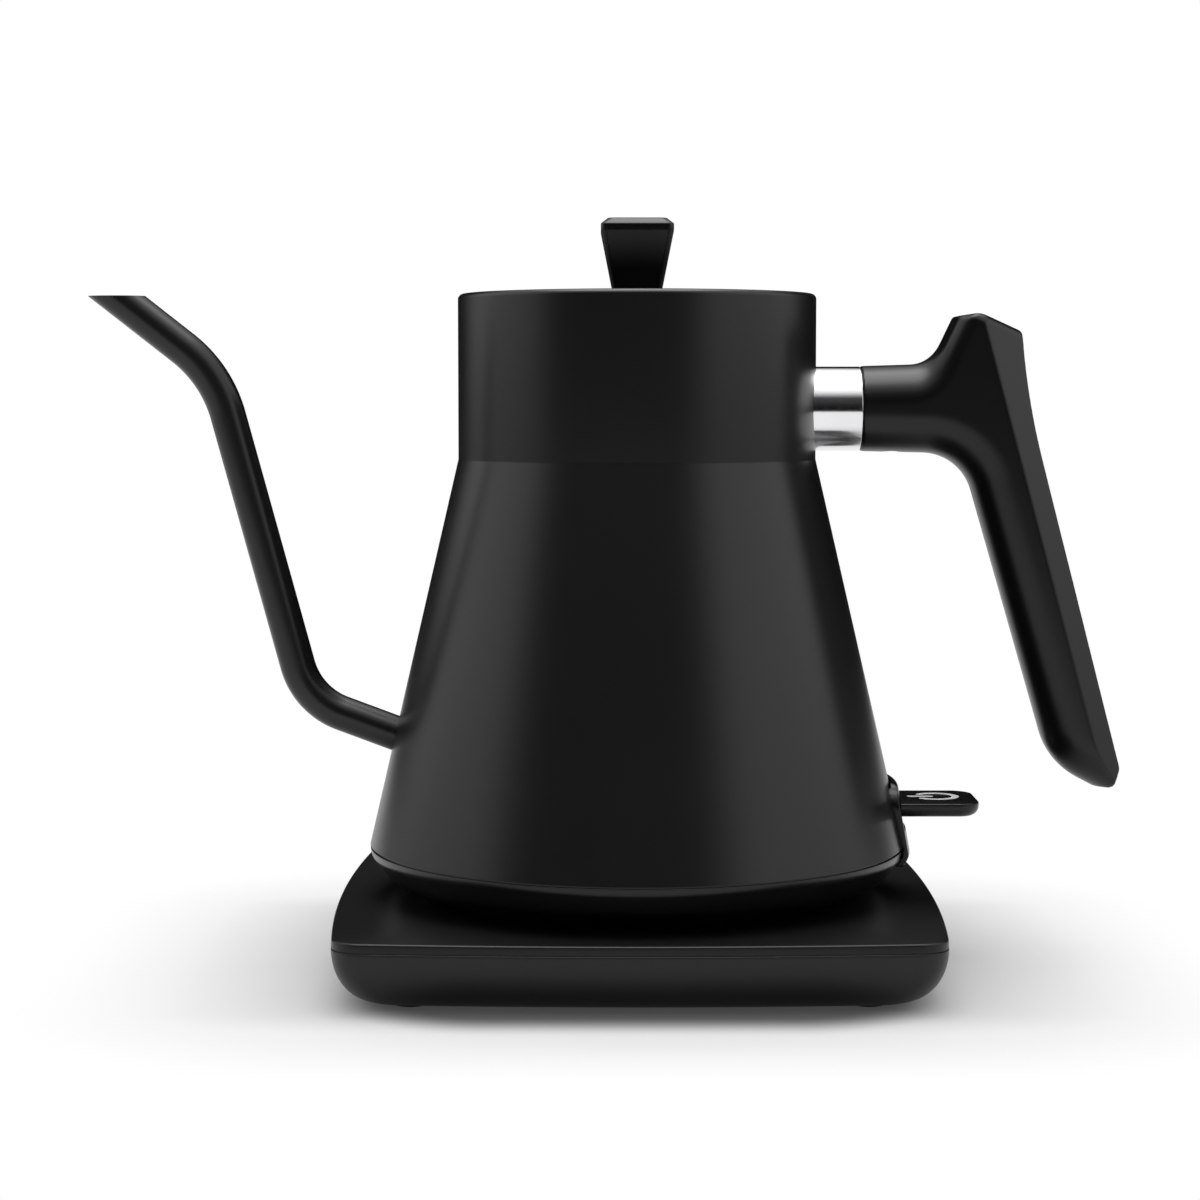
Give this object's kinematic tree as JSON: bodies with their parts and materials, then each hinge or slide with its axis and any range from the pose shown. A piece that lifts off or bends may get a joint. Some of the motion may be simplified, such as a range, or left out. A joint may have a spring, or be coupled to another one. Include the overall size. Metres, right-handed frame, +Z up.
{
  "type": "electric kettle",
  "caption": "Gooseneck electric kettle: conical black steel body with lift-off lid, pistol-grip handle and switch lever, standing on a square cordless power base.",
  "frame": {"origin": "on the kettle's vertical axis, on the table plane under the four feet", "axes": "+Z up along the kettle's axis, +X towards the handle and switch lever (spout towards -X), +Y towards the cord gland at the back"},
  "size_m": [0.2747, 0.1578, 0.1977],
  "materials": {
    "satin_black_paint": "satin black powder coat",
    "black_plastic": "fine satin black moulding",
    "base_plastic": "satin black moulding",
    "base_top_gloss": "smooth black top plate, low gloss",
    "polished_steel": "polished stainless steel",
    "bare_steel": "bare stainless steel, fine brushed",
    "fastener_steel": "zinc-plated steel",
    "spreader_aluminium": "cast aluminium",
    "element_sheath": "aluminium sheath",
    "contact_brass": "bright brass",
    "control_plastic": "black nylon",
    "foot_rubber": "black rubber",
    "seal_silicone": "grey silicone"
  },
  "bodies": {
    "base": {"base_housing": "base_plastic", "base_top_plate": "base_top_gloss", "base_connector": "control_plastic", "live_contact": "contact_brass", "neutral_contact": "contact_brass", "earth_contact": "contact_brass", "base_feet": "foot_rubber", "base_screws": "fastener_steel", "cord_gland": "foot_rubber"},
    "connector": {"kettle_connector": "control_plastic", "connector_pin": "contact_brass", "connector_neutral_ring": "contact_brass", "connector_earth_ring": "contact_brass"},
    "kettle": {"body_shell": "satin_black_paint", "spout": "satin_black_paint", "handle_stud": "fastener_steel", "handle_collar": "polished_steel", "handle_grip": "black_plastic", "handle_set_screw": "fastener_steel", "element_plate": "bare_steel", "heat_spreader": "spreader_aluminium", "heating_element": "element_sheath", "element_terminals": "element_sheath", "control_unit": "control_plastic", "control_screws": "fastener_steel", "dry_boil_discs": "contact_brass", "steam_bimetal": "contact_brass", "steam_tube": "bare_steel", "contact_blades": "contact_brass", "trip_spring": "fastener_steel", "switch_housing": "black_plastic", "lever_pin": "fastener_steel", "bottom_cover": "black_plastic", "cover_screws": "fastener_steel", "cover_brackets": "fastener_steel"},
    "lid": {"lid_cover": "satin_black_paint", "lid_plug": "bare_steel", "lid_seal": "seal_silicone", "lid_knob": "black_plastic", "knob_screw": "fastener_steel"},
    "lever": {"switch_lever": "black_plastic"}
  },
  "joints": [
    {"name": "kettle_lift", "type": "slide", "parent": "base", "child": "connector", "axis": [0, 0, 1], "range_m": [0, 0.1]},
    {"name": "kettle_swivel", "type": "hinge", "parent": "connector", "child": "kettle", "pos_m": [0, 0, 0.0275], "axis": [0, 0, 1], "continuous": true},
    {"name": "lid_lift", "type": "slide", "parent": "kettle", "child": "lid", "axis": [0, 0, 1], "range_m": [0, 0.06]},
    {"name": "switch_press", "type": "hinge", "parent": "kettle", "child": "lever", "pos_m": [0.058, 0, 0.0415], "axis": [0, 1, 0], "range_deg": [0, 10], "deforming": ["trip_spring"]}
  ]
}
